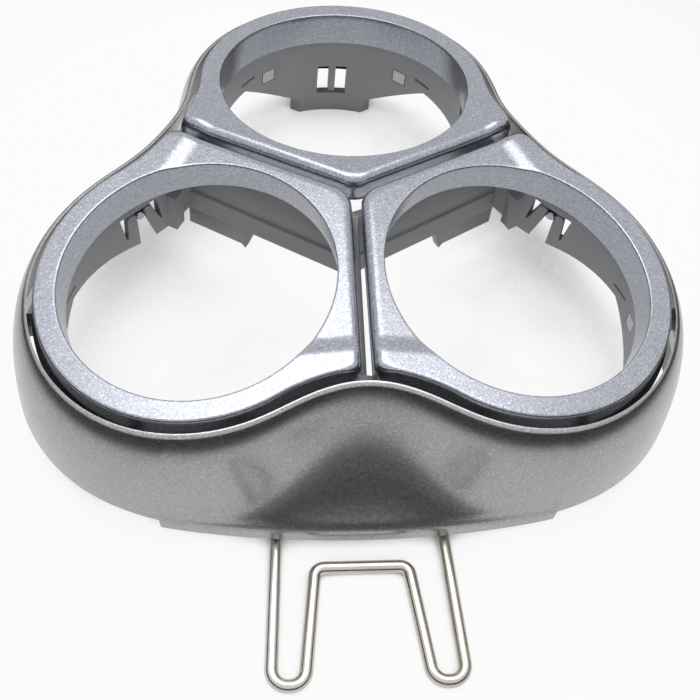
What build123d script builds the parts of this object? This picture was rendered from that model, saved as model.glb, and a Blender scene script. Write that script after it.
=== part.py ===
from build123d import *
import os
from math import cos, pi, radians, sin, sqrt

# Shaver head holder: a painted trefoil shell over a grey inner frame,
# with three rocking ring frames and a wire bail.
# It stands on the feet of the inner frame. The origin is on that plane, midway between the three heads.
# +Y points to the rear head, the bail lies forward along -Y, and all sizes are in millimetres.

# Layout of the three heads
head_pitch = 29.1
head_bore_r = 12.5
ring_tilt = 9.4
rim_height = 16.3

# Ring frames
ring_wall_r = 14.8
ring_waist = 19.55
ring_depth = 3.4
ring_gap = 1.2
ring_ear_drop = 0.5
ring_rim_r = 13.8
ring_rim_root = 0.8
ring_corner_r = 1.2
ring_edge_r = 0.6
rim_edge_r = 0.45

# Pivots of the ring frames
pivot_depth = 5.6
pivot_pin_r = 0.5
pivot_clearance = 0.08
pin_inset = 0.1
leg_width = 2.6
leg_thickness = 0.65
leg_root = 0.8

# Painted shell
shell_wall = 0.6
rim_gap = 0.25
rim_drop = 0.8
skirt_spread = 1.9
spread_low = 2.0
foot_flare = 6.6
flare_low = 2.4
foot_height = 1.6
skirt_sections = 6
lobe_foot_step = 1.1
lip_width = 36.0
lip_height = 1.3
lip_reach = 0.3

# Grey inner frame
frame_wall = 0.9
leg_gap = 0.45
frame_top_gap = 0.45
foot_pad_height = 1.8
scallop_drop = 9.3
scallop_foot = 46.8
scallop_top = 33.2
web_thickness = 0.9
web_centre_drop = 1.7
web_end_drop = 4.9
web_low = 4.0
web_high = 6.6
web_ledge = 9.0
web_ledge_reach = 0.3
web_tab_start = 10.4
web_tab_tip = 11.4
web_tab_drop = 0.45
post_width = 1.4
post_pitch = 7.2
post_reach = 0.5

# Snaps in the walls of the inner frame
window_width = 3.3
window_low = 2.6
window_high = 6.6
tongue_width = 0.75
tongue_gap = 0.4
peg_size = 1.5
peg_clearance = 0.1
peg_angle = 35.0
peg_height = 7.1
slit_angle = 49.0
slit_height = 8.1
slit_length = 2.2
slit_width = 0.35
finger_width = 1.0
finger_tip = 0.7
finger_headroom = 0.3
finger_slot = 0.7
finger_root = 2.2
finger_lean = 0.5
throat_width = 0.84
throat_spread = 0.75

# Wire bail
wire_r = 0.6
wire_hole_clearance = 0.08
bail_pivot_y = -23.2
bail_pivot_z = 2.7
bail_leg_x = 7.5
bail_foot_x = 8.4
bail_end_y = -40.2
bail_step_y = 0.6
bail_loop = 2.9
bail_loop_r = 1.4
bail_bar_x = 4.2
bail_bar_y = -29.5
bail_bend_r = 0.9
bail_end_x = 10.0
lug_start = 8.5
lug_thickness = 1.2
lug_depth = 1.3
lug_rise = 1.3

# Worked out from the sizes above
lobe_angles = {"rear": 90, "left": 210, "right": 330}
waist_angles = (30, 150, 270)
head_circle_r = head_pitch / sqrt(3)
rim_r = ring_wall_r + rim_gap
rim_waist = ring_waist + rim_gap
frame_r = ring_wall_r - leg_thickness - leg_gap
frame_waist = ring_waist - leg_thickness - leg_gap
frame_top_depth = ring_depth + frame_top_gap
shell_r = rim_r + shell_wall
shell_waist = rim_waist + shell_wall
skirt_top = rim_height + head_circle_r * sin(radians(ring_tilt))
scallop_height = rim_height - scallop_drop
shell_reach = head_circle_r + shell_r + skirt_spread + lip_reach


def polar(radius, angle, height=0.0):
    """Point at a distance from the axis, along an angle in degrees, at a height."""
    return Vector(radius * cos(radians(angle)), radius * sin(radians(angle)), height)


def lobe_plane(angle, depth=0.0):
    """Plane of a head's rim or one parallel to it, below it by depth, with X pointing out and down."""
    tilt = radians(ring_tilt)
    normal = polar(sin(tilt), angle, cos(tilt))
    out = polar(cos(tilt), angle, -sin(tilt))
    return Plane(origin=polar(head_circle_r, angle, rim_height) - normal * depth, x_dir=out, z_dir=normal)


def wall_plane(lobe_angle, turn, radius, height):
    """Upright plane facing out of a lobe, at a turn from its outward direction, with Y up."""
    facing = polar(1, lobe_angle + turn)
    centre = polar(head_circle_r, lobe_angle, height) + facing * radius
    return Plane(origin=centre, x_dir=Vector(0, 0, 1).cross(facing), z_dir=facing)


def pivot_plane(angle, side, reach):
    """Upright plane across the rocking axis of a ring frame, at a reach from the head's axis, with Y up."""
    axis = lobe_plane(angle, pivot_depth)
    facing = axis.y_dir * side
    return Plane(origin=axis.origin + facing * reach, x_dir=axis.x_dir * -side, z_dir=facing)


def waist_turn(lobe_r, waist):
    """Signed distance from the axis to the centre of the waist arc that is tangent to two lobe arcs."""
    step = waist - lobe_r
    return (head_circle_r**2 - step**2) / (head_circle_r - 2 * step)


def tangent_point(lobe_r, waist, lobe_angle, waist_angle):
    """Point where a lobe arc runs into the waist arc beside it."""
    reach = waist_turn(lobe_r, waist)
    lobe = polar(head_circle_r, lobe_angle)
    towards = (polar(reach, waist_angle) - lobe).normalized()
    return lobe + towards * (lobe_r if reach > waist else -lobe_r)


def lobe_arc(lobe_r, waist, angle):
    """Arc round the outside of one lobe, from one waist to the next."""
    ThreePointArc(
        tangent_point(lobe_r, waist, angle, angle - 60),
        polar(head_circle_r + lobe_r, angle),
        tangent_point(lobe_r, waist, angle, angle + 60),
    )


def waist_arc(lobe_r, waist, angle):
    """Arc across one waist, from the lobe before it to the lobe after it."""
    ThreePointArc(
        tangent_point(lobe_r, waist, angle - 60, angle),
        polar(waist, angle),
        tangent_point(lobe_r, waist, angle + 60, angle),
    )


def trefoil(lobe_r, waist):
    """Closed outline of three lobes and three waists, which turn from hollow to full as the waist grows."""
    for angle in lobe_angles.values():
        lobe_arc(lobe_r, waist, angle)
        waist_arc(lobe_r, waist, angle + 60)


def trim_top(depth):
    """Cut the part off along the three tilted planes that lie below the heads' rims by depth."""
    for angle in lobe_angles.values():
        split(bisect_by=lobe_plane(angle, depth), keep=Keep.BOTTOM)


def skirt_section(down):
    """Height, lobe radius and waist of the shell at a share of the way down: lobes spread, waists flare."""
    height = skirt_top + (foot_height - skirt_top) * down
    lobe_r = shell_r + skirt_spread * sin(pi / 2 * down**spread_low)
    return height, lobe_r, shell_waist + foot_flare * down**flare_low


# Solid forms of the skirt: its outside, the middle of its wall and its inside
skirt_forms = []
for inset in (0, shell_wall / 2, shell_wall):
    with BuildPart() as skirt_form:
        for section in range(skirt_sections):
            height, lobe_r, waist = skirt_section(section / (skirt_sections - 1))
            with BuildSketch(Plane.XY.offset(height)):
                with BuildLine():
                    trefoil(lobe_r - inset, waist - inset)
                make_face()
        loft()
    skirt_forms.append(skirt_form.part)
skirt_outside, skirt_middle, skirt_inside = skirt_forms

# Pegs and lugs inside the shell, rooted in the middle of its wall
with BuildPart() as shell_fittings:
    # Pegs that reach through the holes of the inner frame
    for angle in lobe_angles.values():
        for turn in (-peg_angle, peg_angle):
            with BuildSketch(wall_plane(angle, turn, frame_r - frame_wall, peg_height)):
                Rectangle(peg_size, peg_size)
            extrude(amount=frame_wall + head_circle_r)
    # Lugs for the ends of the bail
    for side in (-1, 1):
        with BuildSketch(Plane.YZ.offset(side * lug_start)):
            with Locations((bail_pivot_y + lug_depth, foot_height)):
                lug_height = bail_pivot_z + lug_rise - foot_height
                Rectangle(head_circle_r, lug_height, align=(Align.MAX, Align.MIN))
            with Locations((bail_pivot_y, bail_pivot_z)):
                Circle(wire_r + wire_hole_clearance, mode=Mode.SUBTRACT)
        extrude(amount=side * lug_thickness)
    add(skirt_middle, mode=Mode.INTERSECT)

with BuildPart() as outer_shell:
    add(skirt_outside)
    add(skirt_inside, mode=Mode.SUBTRACT)
    trim_top(rim_drop)
    # Foot, which is higher everywhere but at the front lip
    with BuildSketch(Plane.XY.offset(foot_height)):
        Rectangle(2 * shell_reach, 2 * shell_reach)
        with Locations((0, -shell_reach)):
            Rectangle(lip_width, shell_reach, mode=Mode.SUBTRACT)
    extrude(amount=lobe_foot_step, mode=Mode.SUBTRACT)
    add(shell_fittings.part)
    # Lip over the wire, a little proud of the flared waist
    with BuildSketch(Plane.XY.offset(foot_height)):
        with BuildLine():
            trefoil(shell_r + skirt_spread + lip_reach, shell_waist + foot_flare + lip_reach)
        make_face()
        with BuildLine():
            trefoil(rim_r + skirt_spread, rim_waist + foot_flare)
        make_face(mode=Mode.SUBTRACT)
        with Locations((0, -shell_reach)):
            Rectangle(lip_width, shell_reach, mode=Mode.INTERSECT)
    extrude(amount=lip_height)
outer_shell.part.label = "outer_shell"

with BuildPart() as inner_frame:
    with BuildSketch():
        with BuildLine():
            trefoil(frame_r, frame_waist)
        make_face()
        with BuildLine():
            trefoil(frame_r - frame_wall, frame_waist - frame_wall)
        make_face(mode=Mode.SUBTRACT)
    extrude(amount=rim_height)
    trim_top(frame_top_depth)
    for angle in waist_angles:
        along = Plane(origin=(0, 0, 0), x_dir=polar(1, angle), z_dir=polar(1, angle - 90))
        wall_middle = polar(frame_waist - frame_wall, angle)
        across = Plane(origin=wall_middle, x_dir=polar(1, angle + 90), z_dir=polar(1, angle))
        # Foot of the wall, cut back at each waist
        with BuildSketch(across):
            with BuildLine():
                Polyline(
                    (-scallop_foot / 2, 0),
                    (scallop_foot / 2, 0),
                    (scallop_foot / 2, foot_pad_height),
                    (scallop_top / 2, scallop_height),
                    (-scallop_top / 2, scallop_height),
                    (-scallop_foot / 2, foot_pad_height),
                    close=True,
                )
            make_face()
        extrude(amount=head_circle_r / 2, both=True, mode=Mode.SUBTRACT)
        # Web between two heads
        with BuildSketch(along):
            with BuildLine():
                Polyline(
                    (0, rim_height - web_centre_drop),
                    (frame_waist - frame_wall / 2, rim_height - web_end_drop),
                    (frame_waist - frame_wall / 2, web_low),
                    (web_tab_tip + web_tab_drop, web_low),
                    (web_tab_tip, web_low - web_tab_drop),
                    (web_tab_start, web_high),
                    (0, web_high),
                    close=True,
                )
            make_face()
        extrude(amount=web_thickness / 2, both=True)
        # Ledge along the lower part of the web
        with BuildSketch(along):
            with Locations((0, web_high)):
                Rectangle(frame_waist - frame_wall / 2, web_ledge - web_high, align=(Align.MIN, Align.MIN))
        extrude(amount=web_thickness / 2 + web_ledge_reach, both=True)
        # Pair of ribs beside the end of the web
        for side in (-1, 1):
            with BuildSketch(across.offset(-post_reach)):
                with Locations((side * post_pitch / 2, scallop_height)):
                    post_height = rim_height - web_end_drop - scallop_height
                    Rectangle(post_width, post_height, align=(Align.CENTER, Align.MIN))
            extrude(amount=post_reach + frame_wall)
    for angle in lobe_angles.values():
        # Window with a hanging tongue at the outside of the lobe
        window_height = window_high - window_low
        with BuildSketch(wall_plane(angle, 0, frame_r - frame_wall / 2, (window_low + window_high) / 2)):
            Rectangle(window_width, window_height)
            with Locations((0, tongue_gap / 2)):
                Rectangle(tongue_width, window_height - tongue_gap, mode=Mode.SUBTRACT)
        extrude(amount=frame_wall, both=True, mode=Mode.SUBTRACT)
        for side in (-1, 1):
            # Hole for a peg of the shell
            with BuildSketch(wall_plane(angle, side * peg_angle, frame_r - frame_wall / 2, peg_height)):
                Rectangle(peg_size + 2 * peg_clearance, peg_size + 2 * peg_clearance)
            extrude(amount=frame_wall, both=True, mode=Mode.SUBTRACT)
            # Slit beside the peg
            with BuildSketch(wall_plane(angle, side * slit_angle, frame_r - frame_wall / 2, slit_height)):
                Rectangle(slit_length, slit_width)
            extrude(amount=frame_wall, both=True, mode=Mode.SUBTRACT)
            # Snap bearing for a pin of the ring frame: two fingers in a window, with a throat between them
            with BuildSketch(pivot_plane(angle, side, frame_r - frame_wall / 2)):
                finger_x = (throat_width + finger_width) / 2
                snap_width = throat_width + 2 * (finger_width + finger_slot)
                snap_height = finger_root + finger_tip + finger_headroom
                with Locations((0, -finger_root)):
                    Rectangle(snap_width, snap_height, align=(Align.CENTER, Align.MIN))
                for flank in (-1, 1):
                    with BuildLine():
                        Polyline(
                            (flank * (finger_x - finger_width / 2), finger_tip - finger_width / 2),
                            (flank * (finger_x + finger_width / 2), finger_tip - finger_width / 2),
                            (flank * (finger_x + finger_width / 2 + finger_lean), -finger_root),
                            (flank * (finger_x - finger_width / 2), -finger_root),
                            close=True,
                        )
                    make_face(mode=Mode.SUBTRACT)
                    with Locations((flank * finger_x, finger_tip - finger_width / 2)):
                        Circle(finger_width / 2, mode=Mode.SUBTRACT)
                with BuildLine():
                    Polyline(
                        (-throat_width / 2, 0),
                        (throat_width / 2, 0),
                        (throat_width / 2 + throat_spread, -pivot_depth),
                        (-throat_width / 2 - throat_spread, -pivot_depth),
                        close=True,
                    )
                make_face()
                Circle(pivot_pin_r + pivot_clearance)
            extrude(amount=frame_wall, both=True, mode=Mode.SUBTRACT)
inner_frame.part.label = "inner_frame"

ring_frames = {}
for place, angle in lobe_angles.items():
    rim = lobe_plane(angle)
    with BuildPart() as ring_frame:
        # Upright body in the lobe's share of the trefoil, with a gap along each web
        with BuildSketch():
            with BuildLine():
                trefoil(ring_wall_r, ring_waist)
            make_face()
            tip = polar(ring_gap / 2 / sin(radians(60)), angle)
            with BuildLine():
                Polyline(
                    tip,
                    tip + polar(2 * shell_reach, angle - 60),
                    tip + polar(2 * shell_reach, angle + 60),
                    close=True,
                )
            make_face(mode=Mode.INTERSECT)
            fillet(vertices().filter_by(lambda v: (Vector(v) - tip).length < rim_waist), ring_corner_r)
        extrude(amount=2 * rim_height)
        split(bisect_by=lobe_plane(angle, ring_ear_drop), keep=Keep.BOTTOM)
        split(bisect_by=lobe_plane(angle, ring_depth), keep=Keep.TOP)
        ear_top = faces().filter_by(rim).sort_by(Axis(rim.origin, rim.z_dir))[-1]
        fillet(ear_top.edges(), ring_edge_r)
        # Raised rim round the bore
        with BuildSketch(lobe_plane(angle, ring_ear_drop + ring_rim_root)):
            Circle(ring_rim_r)
        extrude(amount=ring_ear_drop + ring_rim_root)
        rim_top = faces().filter_by(rim).sort_by(Axis(rim.origin, rim.z_dir))[-1]
        fillet(rim_top.edges(), rim_edge_r)
        # Legs with the pins that snap into the inner frame
        for side in (-1, 1):
            leg_face = pivot_plane(angle, side, ring_wall_r - leg_thickness)
            with BuildSketch(leg_face):
                Rectangle(leg_width, pivot_depth - ring_depth + leg_root, align=(Align.CENTER, Align.MIN))
                Circle(leg_width / 2)
            extrude(amount=leg_thickness)
            with BuildSketch(leg_face):
                Circle(pivot_pin_r)
            extrude(amount=-(leg_gap + frame_wall - pin_inset))
        # Bore that takes a shaving head
        with BuildSketch(rim):
            Circle(head_bore_r)
        extrude(amount=2 * ring_depth, both=True, mode=Mode.SUBTRACT)
    ring_frame.part.label = f"{place}_ring"
    ring_frames[place] = ring_frame

with BuildPart() as wire_bail:
    half = [
        (bail_end_x, bail_pivot_y, bail_pivot_z),
        (bail_leg_x, bail_pivot_y, bail_pivot_z),
        (bail_leg_x, bail_pivot_y - bail_step_y, wire_r),
        (bail_foot_x, bail_end_y, wire_r),
        (bail_foot_x - bail_loop, bail_end_y, wire_r),
        (bail_bar_x, bail_bar_y, wire_r),
    ]
    route = half + [(-x, y, z) for x, y, z in reversed(half)]
    bend_radii = [bail_bend_r, bail_bend_r, bail_loop_r, bail_loop_r, bail_bend_r]
    with BuildLine() as wire:
        FilletPolyline(*route, radius=bend_radii + bend_radii[::-1])
    with BuildSketch(Plane(origin=route[0], z_dir=(-1, 0, 0))):
        Circle(wire_r)
    sweep(path=wire.wires()[0])
wire_bail.part.label = "wire_bail"

os.makedirs("parts", exist_ok=True)
export_step(outer_shell.part, "parts/outer_shell.step")
export_step(inner_frame.part, "parts/inner_frame.step")
export_step(wire_bail.part, "parts/wire_bail.step")
for place, ring_frame in ring_frames.items():
    export_step(ring_frame.part, f"parts/{place}_ring.step")
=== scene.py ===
"""Visual model of a shaver head holder: painted shell, grey frame, three ring frames and a wire bail."""
import logging
import math
from dataclasses import dataclass
from enum import Enum
from typing import Sequence

import bmesh
import bpy
import numpy as np
from bpy.types import ID, Material, Mesh, Node, NodeSocket, NodeTree, Object
from mathutils import Matrix, Vector


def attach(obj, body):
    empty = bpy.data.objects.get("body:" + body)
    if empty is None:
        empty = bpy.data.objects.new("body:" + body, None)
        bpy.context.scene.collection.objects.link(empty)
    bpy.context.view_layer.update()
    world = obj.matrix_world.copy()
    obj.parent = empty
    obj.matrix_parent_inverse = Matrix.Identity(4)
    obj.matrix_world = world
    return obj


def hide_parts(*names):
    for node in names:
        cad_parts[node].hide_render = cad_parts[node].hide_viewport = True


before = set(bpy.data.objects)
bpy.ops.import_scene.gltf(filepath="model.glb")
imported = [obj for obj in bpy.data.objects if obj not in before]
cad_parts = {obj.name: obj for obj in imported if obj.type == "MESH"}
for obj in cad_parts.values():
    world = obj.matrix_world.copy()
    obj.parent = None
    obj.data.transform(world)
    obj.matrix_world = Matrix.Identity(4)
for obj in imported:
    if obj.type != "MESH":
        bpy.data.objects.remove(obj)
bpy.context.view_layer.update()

log = logging.getLogger("shaver_head_holder")

MM = 0.001
SIXTH = math.pi / 3.0
QUARTER = math.pi / 2.0
TURN = 2.0 * math.pi
SHARP_ANGLE = math.radians(35.0)
WELD = 1e-6
TINY = 1e-7
BUMP_DEPTH = 0.02 * MM

Array = np.ndarray
Pair = tuple[float, float]
Colour = tuple[float, float, float, float]
Place = tuple[float, float, float]
WHITE: Colour = (1.0, 1.0, 1.0, 1.0)
NodeValue = NodeSocket | float | tuple


class Lobe(Enum):
    """The three lobes of the holder, by the direction in degrees of their heads from the middle."""

    REAR = 90
    LEFT = 210
    RIGHT = 330

    @property
    def label(self) -> str:
        """Name of the lobe in plain lower case."""
        return self.name.lower()

    @property
    def heading(self) -> float:
        """Direction of the lobe in radians."""
        return math.radians(self.value)


class Slot(Enum):
    """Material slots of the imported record."""

    SHELL_PAINT = "shell_paint"
    RING_PAINT = "ring_paint"
    GREY_PLASTIC = "grey_plastic"
    SPRING_WIRE = "spring_wire"


def smooth_step(low: float, high: float, value: Array) -> Array:
    """Rise from 0 to 1 without a kink.

    Args:
        low: Value at which the rise starts.
        high: Value at which the rise ends.
        value: Where to read it.

    Returns:
        Share between 0 and 1 for each value.
    """
    share = np.clip((value - low) / (high - low), 0.0, 1.0)
    return share * share * (3.0 - 2.0 * share)


def smooth_min(first: Array, second: Array, width: float) -> Array:
    """Lower of two fields, with a rounded change-over.

    Args:
        first: One field.
        second: The other field.
        width: Difference below which the two are blended.

    Returns:
        The blended field.
    """
    near = np.clip(0.5 + 0.5 * (second - first) / width, 0.0, 1.0)
    return second * (1.0 - near) + first * near - width * near * (1.0 - near)


def soften(loop: Array, width: float) -> Array:
    """Even out values that run round a closed loop.

    Args:
        loop: Values at equal steps round the loop.
        width: Spread of the evening out, in radians.

    Returns:
        The softened values.
    """
    wave = np.arange(loop.size // 2 + 1)
    return np.fft.irfft(np.fft.rfft(loop) * np.exp(-0.5 * (wave * width)**2), loop.size)


def mesh_from_grid(name: str, points: Array, closed: bool = True) -> Mesh:
    """Tube-like mesh over a grid of points.

    Args:
        name: Name of the mesh.
        points: Array of rows by columns by 3; each row closes on itself.
        closed: Whether the last row runs on into the first.

    Returns:
        The mesh, smooth shaded, with its faces pointing outwards.
    """
    rows, columns = points.shape[:2]
    index = np.arange(rows * columns).reshape(rows, columns)
    below = np.roll(index, -1, axis=0)
    quads = np.stack([index, np.roll(index, -1, axis=1), np.roll(below, -1, axis=1), below], axis=-1)
    if not closed:
        quads = quads[:-1]
    mesh = bpy.data.meshes.new(name)
    mesh.from_pydata(points.reshape(-1, 3).tolist(), [], quads.reshape(-1, 4).tolist())
    return finish_mesh(mesh)


def finish_mesh(mesh: Mesh) -> Mesh:
    """Weld a mesh, turn its faces outwards and shade it smooth between sharp edges.

    Args:
        mesh: Mesh to finish.

    Returns:
        The same mesh.
    """
    work = bmesh.new()
    work.from_mesh(mesh)
    bmesh.ops.remove_doubles(work, verts=work.verts, dist=WELD)
    bmesh.ops.recalc_face_normals(work, faces=work.faces)
    work.to_mesh(mesh)
    work.free()
    mesh.polygons.foreach_set("use_smooth", [True] * len(mesh.polygons))
    mesh.set_sharp_from_angle(angle=SHARP_ANGLE)
    mesh.update()
    return mesh


def joined_mesh(name: str, parts: Sequence[Mesh]) -> Mesh:
    """Put several meshes into one.

    Args:
        name: Name of the new mesh.
        parts: Meshes to put together; they are removed.

    Returns:
        The new mesh.
    """
    work = bmesh.new()
    for part in parts:
        work.from_mesh(part)
        bpy.data.meshes.remove(part)
    mesh = bpy.data.meshes.new(name)
    work.to_mesh(mesh)
    work.free()
    mesh.set_sharp_from_angle(angle=SHARP_ANGLE)
    mesh.update()
    return mesh


def in_scene(name: str, data: ID) -> Object:
    """Put a new object into the scene.

    Args:
        name: Name of the object.
        data: Its mesh, lamp or camera.

    Returns:
        The object.
    """
    thing = bpy.data.objects.new(name, data)
    bpy.context.scene.collection.objects.link(thing)
    return thing


def place(mesh: Mesh, material: Material, body: str, slot: Slot, *nodes: str) -> Object:
    """Put a finished mesh into the scene in place of its CAD nodes.

    Args:
        mesh: Finished mesh.
        material: Its finish.
        body: Body that carries it.
        slot: Material slot of the record that it belongs to; not used.
        nodes: CAD nodes that it stands for.

    Returns:
        The new object.
    """
    mesh.materials.clear()
    mesh.materials.append(material)
    piece = in_scene(mesh.name, mesh)
    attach(piece, body)
    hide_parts(*nodes)
    log.info("%s: %d faces on %s", piece.name, len(mesh.polygons), body)
    return piece


@dataclass(frozen=True)
class Layout:
    """Sizes that the pieces share, in metres and radians."""

    head_pitch: float = 29.1 * MM
    bore_r: float = 12.5 * MM
    tilt: float = math.radians(9.4)
    rim_height: float = 16.3 * MM
    ring_wall_r: float = 14.8 * MM
    ring_waist: float = 19.55 * MM
    ring_depth: float = 3.4 * MM
    ring_gap: float = 1.2 * MM
    pivot_depth: float = 5.6 * MM
    pin_r: float = 0.5 * MM

    @property
    def head_circle_r(self) -> float:
        """Distance of each head from the middle."""
        return self.head_pitch / math.sqrt(3.0)

    def waist_turn(self, lobe_r: Array, waist: Array) -> Array:
        """Signed distance from the middle to the centre of the arc across a waist.

        Args:
            lobe_r: Radius of the lobes.
            waist: Distance of the waist from the middle.

        Returns:
            The distance; it is negative where the waist is full.
        """
        step = waist - lobe_r
        spread = self.head_circle_r - 2.0 * step
        spread = np.where(np.abs(spread) < TINY, TINY, spread)
        return (self.head_circle_r**2 - step**2) / spread

    def outline_radius(self, turn: Array, lobe_r: Array, waist: Array) -> Array:
        """Distance of the trefoil outline from the middle.

        Args:
            turn: Directions in radians.
            lobe_r: Radius of the lobes.
            waist: Distance of the waists from the middle.

        Returns:
            Radius of the outline in each direction.
        """
        rho = self.head_circle_r
        side = np.abs(np.mod(turn - QUARTER + SIXTH, 2.0 * SIXTH) - SIXTH)
        reach = self.waist_turn(lobe_r, waist)
        sign = np.where(reach > waist, 1.0, -1.0)
        across = reach * math.sin(SIXTH)
        along = reach * math.cos(SIXTH) - rho
        length = np.hypot(along, across)
        touch = np.arctan2(sign * lobe_r * across / length, rho + sign * lobe_r * along / length)
        lobe = rho * np.cos(side) + np.sqrt(np.maximum(lobe_r**2 - (rho * np.sin(side))**2, 0.0))
        from_waist = SIXTH - side
        span = np.maximum((reach - waist)**2 - (reach * np.sin(from_waist))**2, 0.0)
        hollow = reach * np.cos(from_waist) - sign * np.sqrt(span)
        return np.where(side <= touch, lobe, hollow)

    def lobe_frame(self, lobe: Lobe, depth: float = 0.0) -> Matrix:
        """Frame on the tilted plane of a head, with X outwards and Z along the head's axis.

        Args:
            lobe: Which head.
            depth: Distance below the rim along the axis.

        Returns:
            Matrix from the frame to the model.
        """
        c, s = math.cos(lobe.heading), math.sin(lobe.heading)
        ct, st = math.cos(self.tilt), math.sin(self.tilt)
        out = Vector((c * ct, s * ct, -st))
        normal = Vector((c * st, s * st, ct))
        middle = Vector((c * self.head_circle_r, s * self.head_circle_r, self.rim_height))
        matrix = Matrix((out, normal.cross(out), normal)).transposed().to_4x4()
        matrix.translation = middle - normal * depth
        return matrix


@dataclass(frozen=True)
class NodeGroupBuilder:
    """Small helper that adds and joins nodes in one tree."""

    tree: NodeTree

    def add(self, kind: str, inputs: dict | None = None, **settings: object) -> Node:
        """Add one node.

        Args:
            kind: Type of the node.
            inputs: Values, or sockets to join from, by input name or number.
            settings: Properties of the node.

        Returns:
            The new node.
        """
        node = self.tree.nodes.new(kind)
        for key, value in settings.items():
            setattr(node, key, value)
        for key, value in (inputs or {}).items():
            if isinstance(value, NodeSocket):
                self.tree.links.new(value, node.inputs[key])
            else:
                node.inputs[key].default_value = value
        return node

    def math(self, operation: str, *values: NodeValue, clamp: bool = False) -> NodeSocket:
        """Add a calculation.

        Args:
            operation: Kind of calculation.
            values: Its terms.
            clamp: Whether the result stays between 0 and 1.

        Returns:
            The result.
        """
        node = self.add("ShaderNodeMath", dict(enumerate(values)), operation=operation, use_clamp=clamp)
        return node.outputs[0]

    def mix(self, share: NodeValue, first: NodeValue, second: NodeValue) -> NodeSocket:
        """Blend two colours.

        Args:
            share: Share of the second colour.
            first: Colour at 0.
            second: Colour at 1.

        Returns:
            The blended colour.
        """
        return self.add("ShaderNodeMix", {0: share, 6: first, 7: second}, data_type="RGBA").outputs[2]

    def remap(self, value: NodeValue, *ends: float) -> NodeSocket:
        """Carry a value from one range to another.

        Args:
            value: Value to carry over.
            ends: Ends of its range, then those of the new range where that isn't 0 to 1.

        Returns:
            The value in the new range.
        """
        return self.add("ShaderNodeMapRange", dict(enumerate((value, *ends)))).outputs["Result"]


def new_group(name: str, kind: str, inputs: dict[str, str], outputs: dict[str, str]) -> NodeGroupBuilder:
    """Empty node group with its sockets.

    Args:
        name: Name of the group.
        kind: Kind of tree.
        inputs: Kinds of its inputs by name.
        outputs: Kinds of its outputs by name.

    Returns:
        Builder of the group.
    """
    tree = bpy.data.node_groups.new(name, kind)
    for way, sockets in (("INPUT", inputs), ("OUTPUT", outputs)):
        for label, socket_kind in sockets.items():
            tree.interface.new_socket(label, in_out=way, socket_type=f"NodeSocket{socket_kind}")
    return NodeGroupBuilder(tree)


def new_material(name: str) -> tuple[Material, NodeGroupBuilder]:
    """Material with an empty node tree.

    Args:
        name: Name of the material.

    Returns:
        The material and the builder of its tree.
    """
    material = bpy.data.materials.new(name)
    material.use_nodes = True
    material.node_tree.nodes.clear()
    return material, NodeGroupBuilder(material.node_tree)


def lead_out(make: NodeGroupBuilder, grown: NodeSocket, finish: Material) -> NodeTree:
    """End a geometry node tree: make its instances real, give them their material and lead them out.

    Args:
        make: Builder of the tree.
        grown: Geometry that the tree has made.
        finish: Material of the geometry.

    Returns:
        The tree.
    """
    real = make.add("GeometryNodeRealizeInstances", {"Geometry": grown}).outputs["Geometry"]
    done = make.add("GeometryNodeSetMaterial", {"Geometry": real, "Material": finish}).outputs["Geometry"]
    make.add("NodeGroupOutput", {"Geometry": done})
    return make.tree


def grown_mesh(name: str, seed: Mesh, tree: NodeTree, sizes: dict) -> Mesh:
    """Run a geometry node tree on a mesh and keep the result as a plain mesh.

    Args:
        name: Name of the new mesh.
        seed: Mesh that the tree starts from.
        tree: Geometry node tree.
        sizes: Values of the tree's inputs by name.

    Returns:
        The new mesh, finished.
    """
    carrier = in_scene(name, seed)
    grow = carrier.modifiers.new("grow", "NODES")
    grow.node_group = tree
    for item in tree.interface.items_tree:
        if item.in_out == "INPUT" and item.name in sizes:
            grow[item.identifier] = sizes[item.name]
    result = carrier.evaluated_get(bpy.context.evaluated_depsgraph_get())
    mesh = bpy.data.meshes.new_from_object(result)
    mesh.name = name
    carrier.modifiers.remove(grow)
    bpy.data.objects.remove(carrier)
    return finish_mesh(mesh)


EFFECT_OUTPUTS = {"Color": "Color", "Roughness": "Float", "Height": "Float"}


def flake_group() -> NodeTree:
    """Shared effect of metal flake in paint: specks of tint and a fine uneven height.

    Returns:
        Shader group with the outputs Color, Roughness and Height.
    """
    make = new_group("Paint flake", "ShaderNodeTree", {
        "Base": "Color", "Bright": "Color", "Dark": "Color", "Flake size": "Float", "Amount": "Float",
        "Roughness": "Float",
    }, EFFECT_OUTPUTS)
    cloud_scale, uneven_by = 160.0, 0.04
    lit_from, dull_below = 0.72, 0.3
    given = make.add("NodeGroupInput").outputs
    where = make.add("ShaderNodeTexCoord").outputs["Object"]
    scale = make.math("DIVIDE", 1.0, given["Flake size"])
    flakes = make.add("ShaderNodeTexVoronoi", {"Vector": where, "Scale": scale}, feature="F1")
    speck = make.add("ShaderNodeSeparateColor", {"Color": flakes.outputs["Color"]}).outputs["Red"]
    cloud, fine = (
        make.add("ShaderNodeTexNoise", {"Vector": where, "Scale": waves, "Detail": detail}).outputs["Fac"]
        for waves, detail in ((cloud_scale, 3.0), (scale, 2.0))
    )
    lit = make.math("MULTIPLY", make.remap(speck, lit_from, 1.0), given["Amount"])
    dull = make.math("MULTIPLY", make.remap(speck, dull_below, 0.0), given["Amount"])
    tone = make.mix(lit, given["Base"], given["Bright"])
    make.add("NodeGroupOutput", {
        "Color": make.mix(dull, tone, given["Dark"]),
        "Roughness": make.math("ADD", given["Roughness"], make.remap(cloud, 0.0, 1.0, -uneven_by, uneven_by)),
        "Height": make.math("ADD", speck, fine),
    })
    return make.tree


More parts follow.
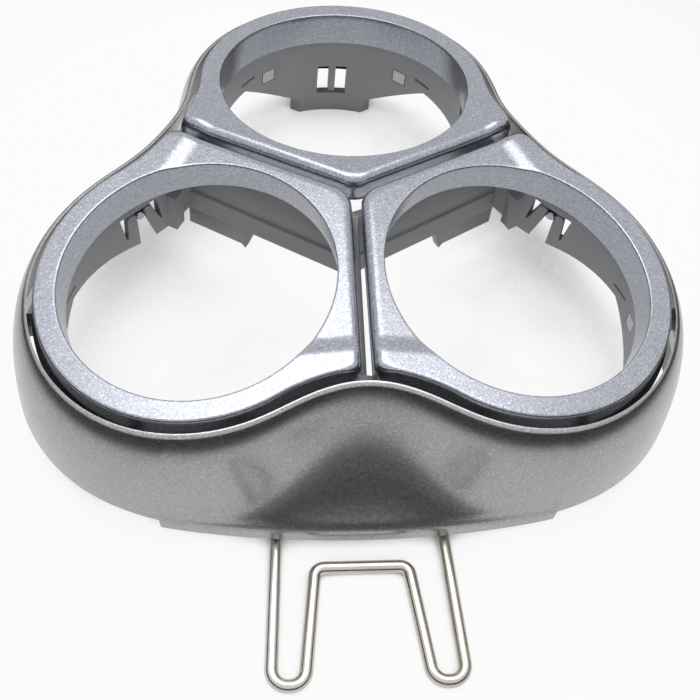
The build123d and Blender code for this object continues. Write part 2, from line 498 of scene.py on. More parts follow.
def grain_group() -> NodeTree:
    """Shared effect of a fine moulded or drawn grain with a little uneven tone.

    Returns:
        Shader group with the outputs Color, Roughness and Height.
    """
    make = new_group("Surface grain", "ShaderNodeTree", {
        "Base": "Color", "Worn": "Color", "Grain size": "Float", "Stretch": "Vector", "Roughness": "Float",
        "Spread": "Float",
    }, EFFECT_OUTPUTS)
    patch_scale, worn_from, worn_full, middle = 140.0, 0.35, 0.75, 0.5
    given = make.add("NodeGroupInput").outputs
    where = make.add("ShaderNodeTexCoord").outputs["Object"]
    where = make.add("ShaderNodeVectorMath", {0: where, 1: given["Stretch"]}, operation="MULTIPLY").outputs[0]
    scale = make.math("DIVIDE", 1.0, given["Grain size"])
    grain, patch = (
        make.add("ShaderNodeTexNoise", {"Vector": where, "Scale": waves, "Detail": detail}).outputs["Fac"]
        for waves, detail in ((scale, 4.0), (patch_scale, 3.0))
    )
    worn = make.remap(patch, worn_from, worn_full)
    swing = make.math("MULTIPLY", make.math("SUBTRACT", grain, middle), given["Spread"])
    make.add("NodeGroupOutput", {
        "Color": make.mix(worn, given["Base"], given["Worn"]),
        "Roughness": make.math("ADD", given["Roughness"], swing),
        "Height": grain,
    })
    return make.tree


@dataclass(frozen=True)
class Finish:
    """Finish of one material slot, on a shared effect whose inputs have the names of its fields."""

    name: str
    base: Colour
    roughness: float
    bump: float
    metallic: float

    def extras(self, make: NodeGroupBuilder, colour: NodeSocket) -> dict[str, NodeValue]:
        """Values of the surface that the effect doesn't give.

        Args:
            make: Builder of the material's tree; not used.
            colour: Colour of the effect; not used.

        Returns:
            Values by the names of the surface's inputs.
        """
        return {"Metallic": self.metallic}

    def make(self, group: NodeTree) -> Material:
        """Build the material.

        Args:
            group: Shared effect.

        Returns:
            The material.
        """
        material, make = new_material(self.name)
        inputs = [item.name for item in group.interface.items_tree if item.in_out == "INPUT"]
        values = {label: getattr(self, label.lower().replace(" ", "_")) for label in inputs}
        effect = make.add("ShaderNodeGroup", values, node_tree=group).outputs
        height = {"Strength": self.bump, "Distance": BUMP_DEPTH, "Height": effect["Height"]}
        surface = make.add("ShaderNodeBsdfPrincipled", {
            "Base Color": effect["Color"],
            "Roughness": effect["Roughness"],
            "Normal": make.add("ShaderNodeBump", height).outputs["Normal"],
            **self.extras(make, effect["Color"]),
        })
        make.add("ShaderNodeOutputMaterial", {"Surface": surface.outputs["BSDF"]})
        return material


@dataclass(frozen=True)
class FlakePaint(Finish):
    """Satin metallic paint with fine flake, sprayed from outside; its unpainted inside can be darkened to
    near black as painted shade.
    """

    bright: Colour
    dark: Colour
    flake_size: float
    amount: float
    coat: float = 0.1
    coat_roughness: float = 0.25
    # Near-black colour of the unpainted inside: painted shade for the gap round the rings and behind the
    # windows.
    inside: Colour | None = None
    inward: Pair = (-0.1, -0.4)
    peg_band: Pair = (7.1 * MM, 0.9 * MM)

    def extras(self, make: NodeGroupBuilder, colour: NodeSocket) -> dict[str, NodeValue]:
        """Clear coat, and an unpainted inside darkened as painted shade, apart from the band of the pegs.

        Args:
            make: Builder of the material's tree.
            colour: Colour of the paint.

        Returns:
            Values by the names of the surface's inputs.
        """
        values = {"Metallic": self.metallic, "Coat Weight": self.coat, "Coat Roughness": self.coat_roughness}
        if self.inside is None:
            return values
        where = make.add("ShaderNodeTexCoord").outputs
        kind, level = "ShaderNodeVectorMath", (1.0, 1.0, 0.0)
        outward = make.add(kind, {0: where["Object"], 1: level}, operation="MULTIPLY").outputs["Vector"]
        outward = make.add(kind, {0: outward}, operation="NORMALIZE").outputs["Vector"]
        facing = make.add(kind, {0: where["Normal"], 1: outward}, operation="DOT_PRODUCT").outputs["Value"]
        height = make.add("ShaderNodeSeparateXYZ", {0: where["Object"]}).outputs["Z"]
        pegs = make.math("COMPARE", height, *self.peg_band)
        unpainted_shade = make.math("SUBTRACT", make.remap(facing, *self.inward), pegs, clamp=True)
        # Painted shade: faces turned inwards, apart from the peg band, go near black and lose their metal.
        values["Base Color"] = make.mix(unpainted_shade, colour, self.inside)
        values["Metallic"] = make.math("MULTIPLY", make.math("SUBTRACT", 1.0, unpainted_shade), self.metallic)
        return values


@dataclass(frozen=True)
class GrainFinish(Finish):
    """Plain plastic or drawn metal with a fine grain."""

    worn: Colour
    grain_size: float
    spread: float = 0.2
    stretch: Place = (1.0, 1.0, 1.0)


SHELL_PAINT = FlakePaint(
    name="shell_paint", base=(0.38, 0.38, 0.385, 1.0), bright=(0.74, 0.74, 0.74, 1.0),
    dark=(0.16, 0.16, 0.165, 1.0), flake_size=0.12 * MM, amount=0.26, roughness=0.25, metallic=0.92,
    # The near-black inside is painted shade for the gap round the rings and behind the windows.
    bump=0.3, inside=(0.03, 0.03, 0.032, 1.0),
)
RING_PAINT = FlakePaint(
    name="ring_paint", base=(0.35, 0.36, 0.405, 1.0), bright=(0.66, 0.68, 0.75, 1.0),
    dark=(0.17, 0.175, 0.21, 1.0), flake_size=0.15 * MM, amount=0.36, roughness=0.24, metallic=0.92,
    bump=0.35,
)
GREY_PLASTIC = GrainFinish(
    name="grey_plastic", base=(0.52, 0.535, 0.545, 1.0), worn=(0.58, 0.595, 0.605, 1.0),
    grain_size=0.25 * MM, roughness=0.5, metallic=0.0, bump=0.25,
)
SPRING_WIRE = GrainFinish(
    name="spring_wire", base=(0.62, 0.60, 0.56, 1.0), worn=(0.50, 0.47, 0.41, 1.0),
    grain_size=0.3 * MM, roughness=0.24, metallic=1.0, bump=0.15, stretch=(1.0, 0.15, 1.0),
)


@dataclass
class PaintedShell:
    """Painted trefoil shell with its rolled rim, flared waists, front lip, pegs and bail lugs."""

    layout: Layout
    finish: Material
    bail: "WireBail"
    wall: float = 0.5 * MM
    rim_gap: float = 0.25 * MM
    rim_drop: float = 0.8 * MM
    crest: float = 0.55 * MM
    shoulder: float = 0.95 * MM
    shoulder_depth: float = 1.5 * MM
    spread: float = 1.2 * MM
    scoop: float = 8.3 * MM
    scoop_low: float = 2.1
    softness: float = 0.06
    roll_width: float = 0.3 * MM
    roll_height: float = 0.3 * MM
    foot_roll: float = 0.22 * MM
    lip_waist: float = 27.3 * MM
    foot_height: float = 1.6 * MM
    lobe_foot_step: float = 1.1 * MM
    lip_half_width: float = 18.0 * MM
    lip_height: float = 1.3 * MM
    lip_blend: float = 0.7 * MM
    lip_round: float = 0.7 * MM
    lip_proud: float = 0.1 * MM
    peg_size: float = 1.5 * MM
    peg_angle: float = math.radians(35.0)
    peg_height: float = 7.1 * MM
    peg_tip_r: float = 12.8 * MM
    peg_root_r: float = 16.75 * MM
    lug_start: float = 8.5 * MM
    lug_thickness: float = 1.2 * MM
    lug_depth: float = 1.3 * MM
    lug_rise: float = 1.3 * MM
    lug_reach: float = 1.9 * MM
    lip_end: float = 0.12 * MM
    lip_soft: float = 0.2 * MM
    rim_blend: float = 0.8 * MM
    low_band: float = 4.5 * MM
    hole_play: float = 0.08 * MM
    columns: int = 960
    foot_rows: int = 5
    low_rows: int = 24
    wall_rows: int = 30
    roll_rows: int = 14
    inside_rows: int = 22
    lug_columns: int = 96

    def skirt_radius(self, turn: Array, height: Array) -> Array:
        """Distance of the skirt's outside from the middle: lobes spread and waists flare on the way down.

        Args:
            turn: Directions in radians, at equal steps round the shell.
            height: Heights above the foot plane.

        Returns:
            Radius in each direction, softened where lobes run into waists.
        """
        top = self.rim_top(turn)
        down = np.clip((top - height) / (top - self.foot_height), 0.0, 1.0)
        below = np.maximum(top - height, 0.0)
        rounded = self.crest + self.shoulder * (1.0 - np.exp(-below / self.shoulder_depth))
        lobe_r = self.layout.ring_wall_r + rounded + self.spread * np.sin(QUARTER * down)
        waist = self.layout.ring_waist + rounded + self.scoop * down**self.scoop_low
        return soften(self.layout.outline_radius(turn, lobe_r, waist), self.softness)

    def rim_top(self, turn: Array) -> Array:
        """Height of the rim, a little below the tilted planes of the heads.

        Args:
            turn: Directions in radians.

        Returns:
            Height of the rim in each direction.
        """
        lay = self.layout
        radius = lay.outline_radius(turn, lay.ring_wall_r + self.crest, lay.ring_waist + self.crest)
        planes = [
            lay.rim_height
            + (lay.head_circle_r - radius * np.cos(turn - lobe.heading)) * math.tan(lay.tilt)
            - self.rim_drop / math.cos(lay.tilt)
            for lobe in Lobe
        ]
        return smooth_min(smooth_min(planes[0], planes[1], self.rim_blend), planes[2], self.rim_blend)

    def skirt(self) -> Mesh:
        """Wall of the shell with its rolled rim and front lip.

        Returns:
            The mesh.
        """
        turn = np.linspace(0.0, TURN, self.columns, endpoint=False)
        top = self.rim_top(turn)
        lay = self.layout
        widest = lay.ring_wall_r + self.crest + self.shoulder + self.spread
        edge = soften(lay.outline_radius(turn, widest, self.lip_waist), self.softness) + self.lip_proud
        beyond = np.abs(edge * np.cos(turn)) - self.lip_half_width
        lip = np.where(np.sin(turn) < 0.0, 1.0 - smooth_step(-self.lip_end, self.lip_end, beyond), 0.0)
        foot = self.foot_height + self.lobe_foot_step * (1.0 - lip)
        inner = lay.outline_radius(turn, lay.ring_wall_r + self.rim_gap, lay.ring_waist + self.rim_gap)
        rows: list[Array] = []

        def add_row(inset: float, height: Array) -> None:
            """Add one row of points round the shell.

            Args:
                inset: Distance into the wall from its outside.
                height: Height in each direction.
            """
            radius = smooth_min(self.skirt_radius(turn, height), edge, self.lip_round)
            above = height - self.foot_height - self.lip_height
            share = 1.0 - smooth_step(-self.lip_soft, self.lip_blend, above)
            radius = np.maximum(radius + (edge - radius) * share * lip - inset, inner)
            rows.append(np.stack([radius * np.cos(turn), radius * np.sin(turn), height], axis=-1))

        low = self.low_band
        for step in np.linspace(0.0, QUARTER, self.foot_rows)[:-1]:
            add_row(self.foot_roll * (1.0 - math.sin(step)), foot + self.foot_roll * (1.0 - math.cos(step)))
        for share in np.linspace(0.0, 1.0, self.low_rows):
            add_row(0.0, foot + self.foot_roll + (low - self.foot_roll) * share)
        shoulder = top - self.roll_height
        for share in np.linspace(0.0, 1.0, self.wall_rows)[1:]:
            add_row(0.0, foot + low + (shoulder - foot - low) * share)
        for step in np.linspace(0.0, QUARTER, self.roll_rows)[1:]:
            add_row(self.roll_width * (1.0 - math.cos(step)), shoulder + self.roll_height * math.sin(step))
        for share in np.linspace(0.0, 1.0, self.inside_rows)[1:]:
            add_row(self.wall, top + (foot - top) * share)
        return mesh_from_grid("shell_skirt", np.stack(rows))

    def peg_tree(self) -> NodeTree:
        """Geometry nodes that stand a peg on each point, turned with it.

        Returns:
            The node group.
        """
        make = new_group("Pegs", "GeometryNodeTree", {
            "Geometry": "Geometry", "Peg size": "Float", "Peg length": "Float",
        }, {"Geometry": "Geometry"})
        given = make.add("NodeGroupInput").outputs
        length, width = given["Peg length"], given["Peg size"]
        size = make.add("ShaderNodeCombineXYZ", {"X": length, "Y": width, "Z": width}).outputs["Vector"]
        block = make.add("GeometryNodeMeshCube", {
            "Size": size, "Vertices X": 5, "Vertices Y": 4, "Vertices Z": 4,
        }).outputs["Mesh"]
        shift = make.add("ShaderNodeCombineXYZ", {"X": make.math("MULTIPLY", length, 0.5)}).outputs["Vector"]
        block = make.add("GeometryNodeSetPosition", {"Geometry": block, "Offset": shift}).outputs["Geometry"]
        heading = make.add("GeometryNodeInputNamedAttribute", {"Name": "heading"}, data_type="FLOAT")
        turn = make.add("ShaderNodeCombineXYZ", {"Z": heading.outputs[0]}).outputs["Vector"]
        pegs = make.add("GeometryNodeInstanceOnPoints", {
            "Points": given["Geometry"], "Instance": block, "Rotation": turn,
        }).outputs["Instances"]
        return lead_out(make, pegs, self.finish)

    def pegs(self) -> Mesh:
        """Square pegs that reach from the shell through the holes of the inner frame.

        Returns:
            The mesh.
        """
        points, headings = [], []
        for lobe in Lobe:
            middle = Vector((math.cos(lobe.heading), math.sin(lobe.heading), 0.0)) * self.layout.head_circle_r
            for side in (-1, 1):
                heading = lobe.heading + side * self.peg_angle
                out = Vector((math.cos(heading), math.sin(heading), 0.0))
                points.append(middle + out * self.peg_tip_r + Vector((0.0, 0.0, self.peg_height)))
                headings.append(heading)
        seed = bpy.data.meshes.new("peg_points")
        seed.from_pydata(points, [], [])
        seed.attributes.new("heading", "FLOAT", "POINT").data.foreach_set("value", headings)
        sizes = {"Peg size": self.peg_size, "Peg length": self.peg_root_r - self.peg_tip_r}
        return grown_mesh("shell_pegs", seed, self.peg_tree(), sizes)

    def lugs(self) -> Mesh:
        """Two lugs behind the lip, each with a hole for an end of the bail.

        Returns:
            The mesh.
        """
        pivot_y, pivot_z = self.bail.pivot
        hole_r = self.bail.wire_r + self.hole_play
        turn = np.linspace(0.0, TURN, self.lug_columns + 1)[:-1]
        rays = np.stack([np.cos(turn), np.sin(turn)], axis=-1)
        drop = pivot_z - self.foot_height
        sides = ((0, 1, self.lug_depth), (0, -1, self.lug_reach), (1, 1, self.lug_rise), (1, -1, drop))
        with np.errstate(divide="ignore", invalid="ignore"):
            reach = np.min([np.where(sign * rays[:, axis] > 0.0, length / (sign * rays[:, axis]), np.inf)
                            for axis, sign, length in sides], axis=0)
        near, far = self.lug_start, self.lug_start + self.lug_thickness
        parts = []
        for side in (-1, 1):
            rows = []
            for x, distance in ((near, hole_r), (near, reach), (far, reach), (far, hole_r)):
                y = pivot_y + rays[:, 0] * distance
                z = pivot_z + rays[:, 1] * distance
                rows.append(np.stack([np.full_like(y, side * x), y, z], axis=-1))
            parts.append(mesh_from_grid("bail_lug", np.stack(rows)))
        return joined_mesh("bail_lugs", parts)

    def build(self) -> Mesh:
        """Whole shell.

        Returns:
            The mesh.
        """
        return joined_mesh("outer_shell_visual", [self.skirt(), self.pegs(), self.lugs()])

    def dress(self) -> Object:
        """Build the shell and put it in place of its CAD node.

        Returns:
            The new object.
        """
        return place(self.build(), self.finish, "holder", Slot.SHELL_PAINT, "outer_shell")


@dataclass
class RingFrame:
    """Painted frame round one shaving head, with its lower ears, hanging legs and pins."""

    layout: Layout
    finish: Material
    lobe: Lobe
    middle_drop: float = 0.26 * MM
    step_at: float = 16.7 * MM
    step_width: float = 1.9 * MM
    corner_r: float = 1.3 * MM
    wall_edge_r: float = 0.28 * MM
    wall_slant: float = 0.6 * MM
    wall_slant_depth: float = 2.3 * MM
    gap_edge_r: float = 0.95 * MM
    bore_edge_r: float = 0.15 * MM
    foot_edge_r: float = 0.2 * MM
    leg_width: float = 2.6 * MM
    leg_thickness: float = 0.65 * MM
    leg_root: float = 0.8 * MM
    pin_end_r: float = 12.9 * MM
    pin_bevel: float = 0.1 * MM
    edge_turn: float = math.radians(78.0)
    gap_blend: float = 1.2 * MM
    softness: float = 0.02
    probe: float = 0.3 * MM
    least_probe: float = 0.05 * MM
    most_slant: float = 1.5
    least_flat: float = 0.1 * MM
    columns: int = 720
    leg_columns: int = 48
    halvings: int = 45
    bore_rows: int = 8
    bore_edge_rows: int = 5
    flat_rows: int = 20
    edge_rows: int = 7
    slant_rows: int = 6
    wall_rows: int = 6
    foot_rows: int = 4

    def plan(self, radius: Array, turn: Array, height: Array) -> Array:
        """Distance into the ring's plan from its outline, for a point given on the tilted head.

        Args:
            radius: Distance from the head's axis.
            turn: Direction round the head's axis.
            height: Height above the rim along the axis.

        Returns:
            Positive inside the plan, with rounded corners.
        """
        lay = self.layout
        rho = lay.head_circle_r
        out = rho + radius * np.cos(turn) * math.cos(lay.tilt) + height * math.sin(lay.tilt)
        across = radius * np.sin(turn)
        reach = float(lay.waist_turn(lay.ring_wall_r, lay.ring_waist))
        waist_out, waist_across = reach * math.cos(SIXTH), reach * math.sin(SIXTH)
        side = np.abs(across)
        turned = (waist_out - rho) * side - waist_across * (out - rho)
        lobe = lay.ring_wall_r - np.hypot(out - rho, side)
        waist = np.hypot(out - waist_out, side - waist_across) - (reach - lay.ring_waist)
        wall = np.where(turned < 0.0, lobe, waist)
        gap = lay.ring_gap / 2.0
        left = out * math.sin(SIXTH) - across * math.cos(SIXTH) - gap
        right = out * math.sin(SIXTH) + across * math.cos(SIXTH) - gap
        return smooth_min(smooth_min(left, right, self.corner_r), wall, self.corner_r)

    def reach(self, turn: Array, height: Array) -> Array:
        """Distance of the outer wall from the head's axis.

        Args:
            turn: Directions round the axis.
            height: Height above the rim in each direction.

        Returns:
            Distance in each direction.
        """
        low = np.full_like(turn, self.layout.bore_r)
        high = np.full_like(turn, 2.0 * self.layout.bore_r)
        for _ in range(self.halvings):
            middle = (low + high) / 2.0
            within = self.plan(middle, turn, height) > 0.0
            low = np.where(within, middle, low)
            high = np.where(within, high, middle)
        return low

    def crown(self, radius: Array, turn: Array) -> Array:
        """Height of the top face, which steps down on the ears towards the middle of the holder.

        Args:
            radius: Distance from the head's axis.
            turn: Direction round the head's axis.

        Returns:
            Height above the rim plane, zero or less.
        """
        out = self.layout.head_circle_r + radius * np.cos(turn)
        along_gap = out / 2.0 + np.abs(radius * np.sin(turn)) * math.sin(SIXTH)
        half = self.step_width / 2.0
        low = 1.0 - smooth_step(self.step_at - half, self.step_at + half, along_gap)
        return -self.middle_drop * np.where(np.cos(turn) < 0.0, low, 0.0)

    def edge_profiles(self) -> list[tuple[float, float, float, float]]:
        """Steps over the top edge.

        Returns:
            For each step, how far out and down it is on the outer wall, then along a gap.
        """
        steps = []
        for angle in np.linspace(0.0, self.edge_turn, self.edge_rows)[1:]:
            steps.append((self.wall_edge_r * math.sin(angle), self.wall_edge_r * (1.0 - math.cos(angle))))
        out, down = steps[-1]
        deep, wide = self.wall_slant_depth, self.wall_slant
        for share in np.linspace(0.0, 1.0, self.slant_rows)[1:]:
            steps.append((out + (wide - out) * share, down + (deep - down) * share))
        turns = np.linspace(0.0, QUARTER, len(steps) + 1)[1:]
        size = self.gap_edge_r
        return [(*step, size * math.sin(angle), size * (1.0 - math.cos(angle)))
                for step, angle in zip(steps, turns)]

    def body(self) -> Mesh:
        """Ring itself, as a closed profile carried round the bore.

        Returns:
            The mesh.
        """
        turn = np.linspace(0.0, TURN, self.columns, endpoint=False)
        lay = self.layout
        bore, depth = lay.bore_r, lay.ring_depth
        flat = np.zeros_like(turn)
        lip = self.crown(flat + bore, turn)
        rows: list[tuple[Array, Array]] = []
        for share in np.linspace(0.0, 1.0, self.bore_rows):
            rows.append((flat + bore, -depth + (lip - self.bore_edge_r + depth) * share))
        for step in np.linspace(0.0, QUARTER, self.bore_edge_rows)[1:]:
            rows.append((flat + bore + self.bore_edge_r * (1.0 - math.cos(step)),
                         lip - self.bore_edge_r * (1.0 - math.sin(step))))
        edge = self.reach(turn, flat)
        out = lay.head_circle_r + edge * np.cos(turn) * math.cos(lay.tilt)
        gap = out * math.sin(SIXTH) - np.abs(edge * np.sin(turn)) * math.cos(SIXTH) - lay.ring_gap / 2.0
        gap = soften(1.0 - smooth_step(0.0, self.gap_blend, gap), self.softness)
        near = edge - self.probe
        slant = (edge - near) / np.maximum(self.plan(near, turn, flat), self.least_probe)
        slant = soften(np.clip(slant, 1.0, self.most_slant), self.softness)
        start = bore + self.bore_edge_r
        width = self.wall_slant + (self.gap_edge_r - self.wall_slant) * gap
        stop = np.maximum(edge - slant * width, start + self.least_flat)
        for share in np.linspace(0.0, 1.0, self.flat_rows)[1:]:
            radius = start + (stop - start) * share
            rows.append((radius, self.crown(radius, turn)))
        for wall_out, wall_down, gap_out, gap_down in self.edge_profiles():
            out = (wall_out + (gap_out - wall_out) * gap) / width
            drop = wall_down + (gap_down - wall_down) * gap
            radius = stop + (edge - stop) * out
            rows.append((radius, self.crown(radius, turn) - drop))
        top = rows[-1][1]
        for share in np.linspace(0.0, 1.0, self.wall_rows)[1:]:
            height = top + (-depth + self.foot_edge_r - top) * share
            rows.append((self.reach(turn, height), height))
        foot = self.reach(turn, flat - depth)
        for step in np.linspace(0.0, QUARTER, self.foot_rows)[1:]:
            rows.append((foot - self.foot_edge_r * (1.0 - math.cos(step)),
                         flat - depth + self.foot_edge_r * (1.0 - math.sin(step))))
        rows.append(((foot + bore) / 2.0, flat - depth))
        radius = np.stack([row[0] for row in rows])
        height = np.stack([row[1] for row in rows])
        points = np.stack([radius * np.cos(turn), radius * np.sin(turn), height], axis=-1)
        mesh = mesh_from_grid(f"{self.lobe.label}_ring_body", points)
        mesh.transform(lay.lobe_frame(self.lobe))
        return mesh

    def leg(self, side: int) -> Mesh:
        """Leg under the ring, with the pin that snaps into the inner frame.

        Args:
            side: -1 or 1, for the two ends of the rocking axis.

        Returns:
            The mesh.
        """
        half = self.leg_width / 2.0
        rise = self.layout.pivot_depth - self.layout.ring_depth + self.leg_root
        turn = np.linspace(0.0, TURN, self.leg_columns + 1)[:-1]
        across, up = half * np.cos(turn), half * np.sin(turn)
        square = np.minimum(half / np.maximum(np.abs(across), TINY), rise / np.maximum(up, TINY))
        stretch = np.where(up > 0.0, square, 1.0)
        outer, pin, end = self.layout.ring_wall_r, self.layout.pin_r, self.pin_end_r
        root, bevel = outer - self.leg_thickness, self.pin_bevel
        rows = [(across * stretch * scale, reach, up * stretch * scale)
                for reach, scale in ((outer, 0.0), (outer, 1.0), (root, 1.0))]
        rows += [(radius * np.cos(turn), reach, radius * np.sin(turn))
                 for reach, radius in ((root, pin), (end + bevel, pin), (end, pin - bevel), (end, 0.0))]
        points = [np.stack([x, np.full_like(turn, side * reach), z], axis=-1) for x, reach, z in rows]
        mesh = mesh_from_grid("ring_leg", np.stack(points), closed=False)
        mesh.transform(self.layout.lobe_frame(self.lobe, self.layout.pivot_depth))
        return mesh

    def build(self) -> Mesh:
        """Whole ring frame.

        Returns:
            The mesh.
        """
        return joined_mesh(f"{self.lobe.label}_ring_visual", [self.body(), self.leg(-1), self.leg(1)])

    def dress(self) -> Object:
        """Build the ring frame and put it in place of its CAD node.

        Returns:
            The new object.
        """
        label = self.lobe.label
        return place(self.build(), self.finish, f"{label}_ring_frame", Slot.RING_PAINT, f"{label}_ring")


@dataclass
class InnerFrame:
    """Grey moulded frame inside the shell, with its webs, windows and snap arms."""

    finish: Material
    smooth_angle: float = math.radians(25.0)

    def build(self) -> Mesh:
        """Copy of the CAD solid, shaded smooth between sharp edges.

        Returns:
            The mesh.
        """
        work = bmesh.new()
        work.from_mesh(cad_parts["inner_frame"].data)
        bmesh.ops.remove_doubles(work, verts=work.verts, dist=WELD)
        mesh = bpy.data.meshes.new("inner_frame_visual")
        work.to_mesh(mesh)
        work.free()
        mesh.polygons.foreach_set("use_smooth", [True] * len(mesh.polygons))
        mesh.set_sharp_from_angle(angle=self.smooth_angle)
        mesh.update()
        return mesh

    def dress(self) -> Object:
        """Build the frame and put it in place of its CAD node.

        Returns:
            The new object.
        """
        return place(self.build(), self.finish, "holder", Slot.GREY_PLASTIC, "inner_frame")


@dataclass
class WireBail:
    """Bent spring wire that hooks into the shell."""

    finish: Material
    wire_r: float = 0.6 * MM
    pivot: Pair = (-23.2 * MM, 2.7 * MM)
    end_x: float = 10.0 * MM
    leg_x: float = 7.5 * MM
    step_y: float = 0.6 * MM
    foot_x: float = 8.4 * MM
    end_y: float = -40.2 * MM
    loop: float = 2.9 * MM
    bar: Pair = (4.2 * MM, -29.5 * MM)
    bend_r: float = 0.9 * MM
    loop_r: float = 1.4 * MM
    sides: int = 24
    bend_steps: int = 14

    def route(self) -> list[tuple[Vector, float]]:
        """Corners of the wire and the bend at each.

        Returns:
            Pairs of a corner and its bend radius, from one end to the other.
        """
        y, z = self.pivot
        half = [
            (Vector((self.end_x, y, z)), 0.0),
            (Vector((self.leg_x, y, z)), self.bend_r),
            (Vector((self.leg_x, y - self.step_y, self.wire_r)), self.bend_r),
            (Vector((self.foot_x, self.end_y, self.wire_r)), self.loop_r),
            (Vector((self.foot_x - self.loop, self.end_y, self.wire_r)), self.loop_r),
            (Vector((self.bar[0], self.bar[1], self.wire_r)), self.bend_r),
        ]
        return half + [(Vector((-p.x, p.y, p.z)), bend) for p, bend in reversed(half)]

    def wire_tree(self) -> NodeTree:
        """Geometry nodes that bend a line of corners into a round wire.

        Returns:
            The node group.
        """
        make = new_group("Bent wire", "GeometryNodeTree", {
            "Geometry": "Geometry", "Wire radius": "Float", "Sides": "Int",
        }, {"Geometry": "Geometry"})
        given = make.add("NodeGroupInput").outputs
        bend = make.add("GeometryNodeInputNamedAttribute", {"Name": "bend"}, data_type="FLOAT")
        line = make.add("GeometryNodeMeshToCurve", {"Mesh": given["Geometry"]}).outputs["Curve"]
        line = make.add("GeometryNodeFilletCurve", {
            "Curve": line, "Radius": bend.outputs[0], "Count": self.bend_steps, "Limit Radius": True,
        }, mode="POLY").outputs["Curve"]
        circle = make.add("GeometryNodeCurvePrimitiveCircle", {
            "Resolution": given["Sides"], "Radius": given["Wire radius"],
        }).outputs["Curve"]
        tube = make.add("GeometryNodeCurveToMesh", {
            "Curve": line, "Profile Curve": circle, "Fill Caps": True,
        }).outputs["Mesh"]
        smooth = make.add("GeometryNodeSetShadeSmooth", {"Geometry": tube}).outputs["Geometry"]
        return lead_out(make, smooth, self.finish)

    def build(self) -> Mesh:
        """Wire along its route.

        Returns:
            The mesh.
        """
        corners = self.route()
        line = bpy.data.meshes.new("bail_line")
        line.from_pydata([corner for corner, _ in corners], [(i, i + 1) for i in range(len(corners) - 1)], [])
        bend = line.attributes.new("bend", "FLOAT", "POINT")
        bend.data.foreach_set("value", [radius for _, radius in corners])
        sizes = {"Wire radius": self.wire_r, "Sides": self.sides}
        return grown_mesh("wire_bail_visual", line, self.wire_tree(), sizes)

    def dress(self) -> Object:
        """Build the bail and put it in place of its CAD node.

        Returns:
            The new object.
        """
        return place(self.build(), self.finish, "bail", Slot.SPRING_WIRE, "wire_bail")


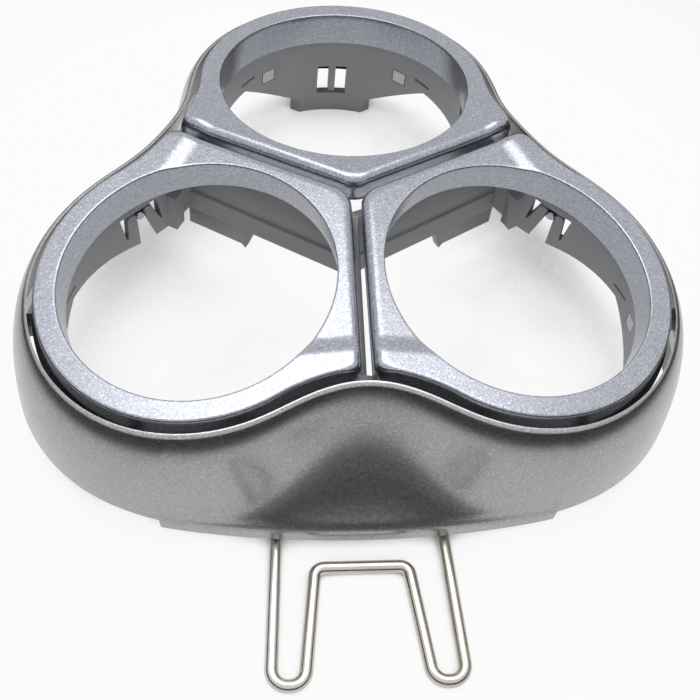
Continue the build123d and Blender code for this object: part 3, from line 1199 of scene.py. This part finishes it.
@dataclass
class Studio:
    """Pale floor with painted light round the object and painted shade further out, a dark screen, soft light
    and the camera at the photograph's angle.
    """

    floor_size: float = 3.0
    # Painted light: the floor's own colour is pale round the object and dark further out, where only
    # reflections and bounce light see it.
    floor_near: Colour = (0.86, 0.86, 0.86, 1.0)
    floor_far: Colour = (0.12, 0.115, 0.11, 1.0)
    pool: Pair = (0.048, 0.075)
    shadow_reach: float = 0.02
    shadow_samples: int = 8
    shadow_ends: Pair = (0.2, 0.42)
    white_share: float = 0.93
    lens: float = 62.04
    sensor: float = 36.0
    clip_start: float = 0.005
    camera_at: Place = (-0.010576, -0.075510, 0.100008)
    camera_right: Place = (0.99596, -0.05842, 0.06825)
    camera_up: Place = (0.00853, 0.81773, 0.57554)
    camera_back: Place = (-0.08943, -0.57263, 0.81492)
    soft_light: float = 0.3
    soft_colour: Colour = (0.96, 0.98, 1.0, 1.0)
    screen_r: float = 0.30
    screen_heights: Pair = (0.012, 0.145)
    screen_span: Pair = (math.radians(150.0), math.radians(390.0))
    screen_steps: int = 60
    screen_colour: Colour = (0.09, 0.082, 0.066, 1.0)
    lamp_at: Place = (0.01, 0.09, 0.42)
    lamp_size: Pair = (0.40, 0.24)
    lamp_power: float = 0.86
    lamp_aim: Place = (0.0, 0.0, 0.01)

    def sheet(self, name: str, points: list[Place], faces: list[tuple], material: Material) -> Object:
        """Put a plain sheet into the studio.

        Args:
            name: Name of the sheet.
            points: Its corners.
            faces: Its faces by the numbers of their corners.
            material: Its finish.

        Returns:
            The new object.
        """
        mesh = bpy.data.meshes.new(name)
        mesh.from_pydata(points, [], faces)
        mesh.materials.append(material)
        return in_scene(name, mesh)

    def floor(self) -> None:
        """Lay the floor: it looks white where the sky is open above it and keeps the shadow; its own colour
        is painted light, pale round the object and dark further out, where only reflections and bounce light
        see it.
        """
        material, make = new_material("pale_floor")
        ray = make.add("ShaderNodeLightPath").outputs
        where = make.add("ShaderNodeTexCoord").outputs["Object"]
        away = make.add("ShaderNodeVectorMath", {0: where}, operation="LENGTH").outputs["Value"]
        near = make.remap(away, *self.pool, 1.0, 0.0)
        open_sky = make.add("ShaderNodeAmbientOcclusion", {"Distance": self.shadow_reach},
                            samples=self.shadow_samples).outputs["AO"]
        share = make.remap(open_sky, *self.shadow_ends, 0.0, self.white_share)
        share = make.math("MAXIMUM", share, make.math("SUBTRACT", 1.0, near))
        eye = make.math("MAXIMUM", ray["Is Camera Ray"], ray["Is Transmission Ray"])
        # Reflections see the white floor only round the object; further out they see the dark painted shade
        # of the floor.
        metal = make.math("MULTIPLY", ray["Is Glossy Ray"], near)
        share = make.math("MULTIPLY", make.math("MAXIMUM", eye, metal), share)
        tone = make.mix(near, self.floor_far, self.floor_near)
        matte = make.add("ShaderNodeBsdfDiffuse", {"Color": tone}).outputs["BSDF"]
        white = make.add("ShaderNodeEmission", {"Color": WHITE, "Strength": 1.0}).outputs["Emission"]
        mixed = make.add("ShaderNodeMixShader", {0: share, 1: matte, 2: white}).outputs["Shader"]
        make.add("ShaderNodeOutputMaterial", {"Surface": mixed})
        half = self.floor_size / 2.0
        corners = [(-half, -half, 0.0), (half, -half, 0.0), (half, half, 0.0), (-half, half, 0.0)]
        floor = self.sheet("floor", corners, [(0, 1, 2, 3)], material)

    def screen(self) -> None:
        """Stand a dark curved screen in front, which draws the dark edges in the metal."""
        material, make = new_material("dark_cloth")
        cloth = make.add("ShaderNodeBsdfDiffuse", {"Color": self.screen_colour}).outputs["BSDF"]
        make.add("ShaderNodeOutputMaterial", {"Surface": cloth})
        points = [(self.screen_r * math.cos(turn), self.screen_r * math.sin(turn), height)
                  for turn in np.linspace(*self.screen_span, self.screen_steps + 1)
                  for height in self.screen_heights]
        faces = [(2 * i, 2 * i + 2, 2 * i + 3, 2 * i + 1) for i in range(self.screen_steps)]
        screen = self.sheet("dark_screen", points, faces, material)
        screen.visible_camera = False

    def world(self) -> None:
        """Surround the object with soft light in front of a white background."""
        world = bpy.data.worlds.new("soft_studio")
        bpy.context.scene.world = world
        world.use_nodes = True
        world.node_tree.nodes.clear()
        make = NodeGroupBuilder(world.node_tree)
        soft, white = (
            make.add("ShaderNodeBackground", {"Color": colour, "Strength": strength}).outputs[0]
            for colour, strength in ((self.soft_colour, self.soft_light), (WHITE, 1.0))
        )
        ray = make.add("ShaderNodeLightPath").outputs
        seen = make.math("MAXIMUM", ray["Is Camera Ray"], ray["Is Glossy Ray"])
        seen = make.math("MAXIMUM", seen, ray["Is Transmission Ray"])
        mixed = make.add("ShaderNodeMixShader", {0: seen, 1: soft, 2: white}).outputs["Shader"]
        make.add("ShaderNodeOutputWorld", {"Surface": mixed})

    def lamp(self) -> None:
        """Hang the soft lamp, facing the object."""
        light = bpy.data.lights.new("overhead", "AREA")
        light.shape = "RECTANGLE"
        light.size, light.size_y = self.lamp_size
        light.energy = self.lamp_power
        holder = in_scene("overhead", light)
        holder.location = self.lamp_at
        aim = Vector(self.lamp_aim) - Vector(self.lamp_at)
        holder.rotation_euler = aim.to_track_quat("-Z", "Y").to_euler()

    def camera(self) -> None:
        """Set the camera where the photograph was taken from."""
        data = bpy.data.cameras.new("camera")
        data.lens = self.lens
        data.sensor_width = self.sensor
        data.clip_start = self.clip_start
        camera = in_scene("camera", data)
        turn = Matrix((self.camera_right, self.camera_up, self.camera_back)).transposed().to_4x4()
        turn.translation = Vector(self.camera_at)
        camera.matrix_world = turn
        bpy.context.scene.camera = camera

    def build(self) -> None:
        """Set up the whole studio."""
        self.floor()
        self.screen()
        self.world()
        self.lamp()
        self.camera()
        bpy.context.scene.view_settings.view_transform = "Standard"


def main() -> None:
    """Build and dress every piece, then the studio."""
    logging.basicConfig(level=logging.INFO, format="%(name)s: %(message)s")
    flake, grain = flake_group(), grain_group()
    layout = Layout()
    ring_finish = RING_PAINT.make(flake)
    bail = WireBail(SPRING_WIRE.make(grain))
    PaintedShell(layout, SHELL_PAINT.make(flake), bail).dress()
    for lobe in Lobe:
        RingFrame(layout, ring_finish, lobe).dress()
    InnerFrame(GREY_PLASTIC.make(grain)).dress()
    bail.dress()
    Studio().build()


if __name__ == "__main__":
    main()
